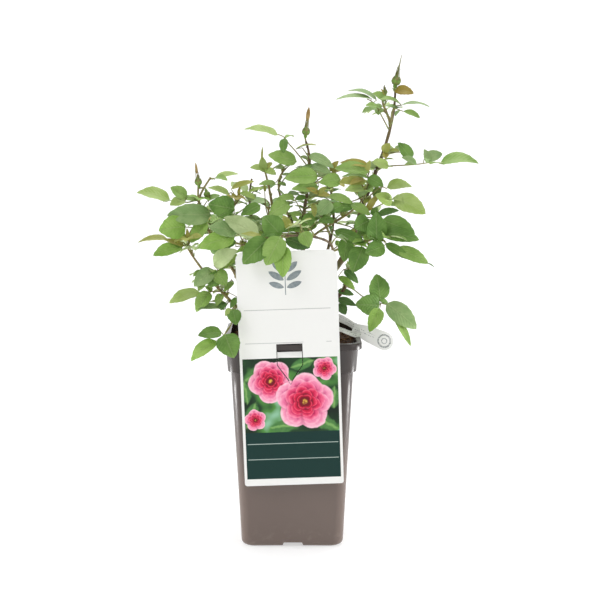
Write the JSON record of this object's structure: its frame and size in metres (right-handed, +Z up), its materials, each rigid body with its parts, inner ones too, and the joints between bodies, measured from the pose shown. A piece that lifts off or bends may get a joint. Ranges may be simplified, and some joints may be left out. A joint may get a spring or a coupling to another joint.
{
  "type": "potted rose bush",
  "caption": "A young rose bush with pinnate green leaves and pointed buds on slender canes, in a tall square taupe nursery pot, with a hanging picture card and a white strap label.",
  "frame": {"origin": "The centre of the pot's flat underside.", "axes": "+Z up along the plant's height, -Y the side of the pot that the card hangs on, +X to the right as seen from the card's side."},
  "size_m": [0.399, 0.2523, 0.571],
  "materials": {
    "pot_plastic": "satin moulded taupe plastic, a little shiny on the rounded corners",
    "compost": "coarse dark potting compost with bark chips",
    "bark": "woody brown bark turning green towards the tips, with prickles",
    "leaf": "satin mid green rose leaves, younger ones pale green to bronze, with green buds",
    "label_plastic": "smooth white printed plastic sheet"
  },
  "bodies": {
    "root": {"pot": "pot_plastic", "soil": "compost", "trunk": "bark", "cane_tall": "bark", "cane_centre": "bark", "cane_middle_left": "bark", "cane_left": "bark", "cane_low_left": "bark", "cane_front": "bark", "cane_right": "bark", "cane_back_left": "bark", "cane_back_right": "bark", "foliage_tall": "leaf", "foliage_centre": "leaf", "foliage_middle_left": "leaf", "foliage_left": "leaf", "foliage_low_left": "leaf", "foliage_front": "leaf", "foliage_right": "leaf", "foliage_back_left": "leaf", "foliage_back_right": "leaf", "card": "label_plastic", "strap": "label_plastic"}
  },
  "joints": []
}
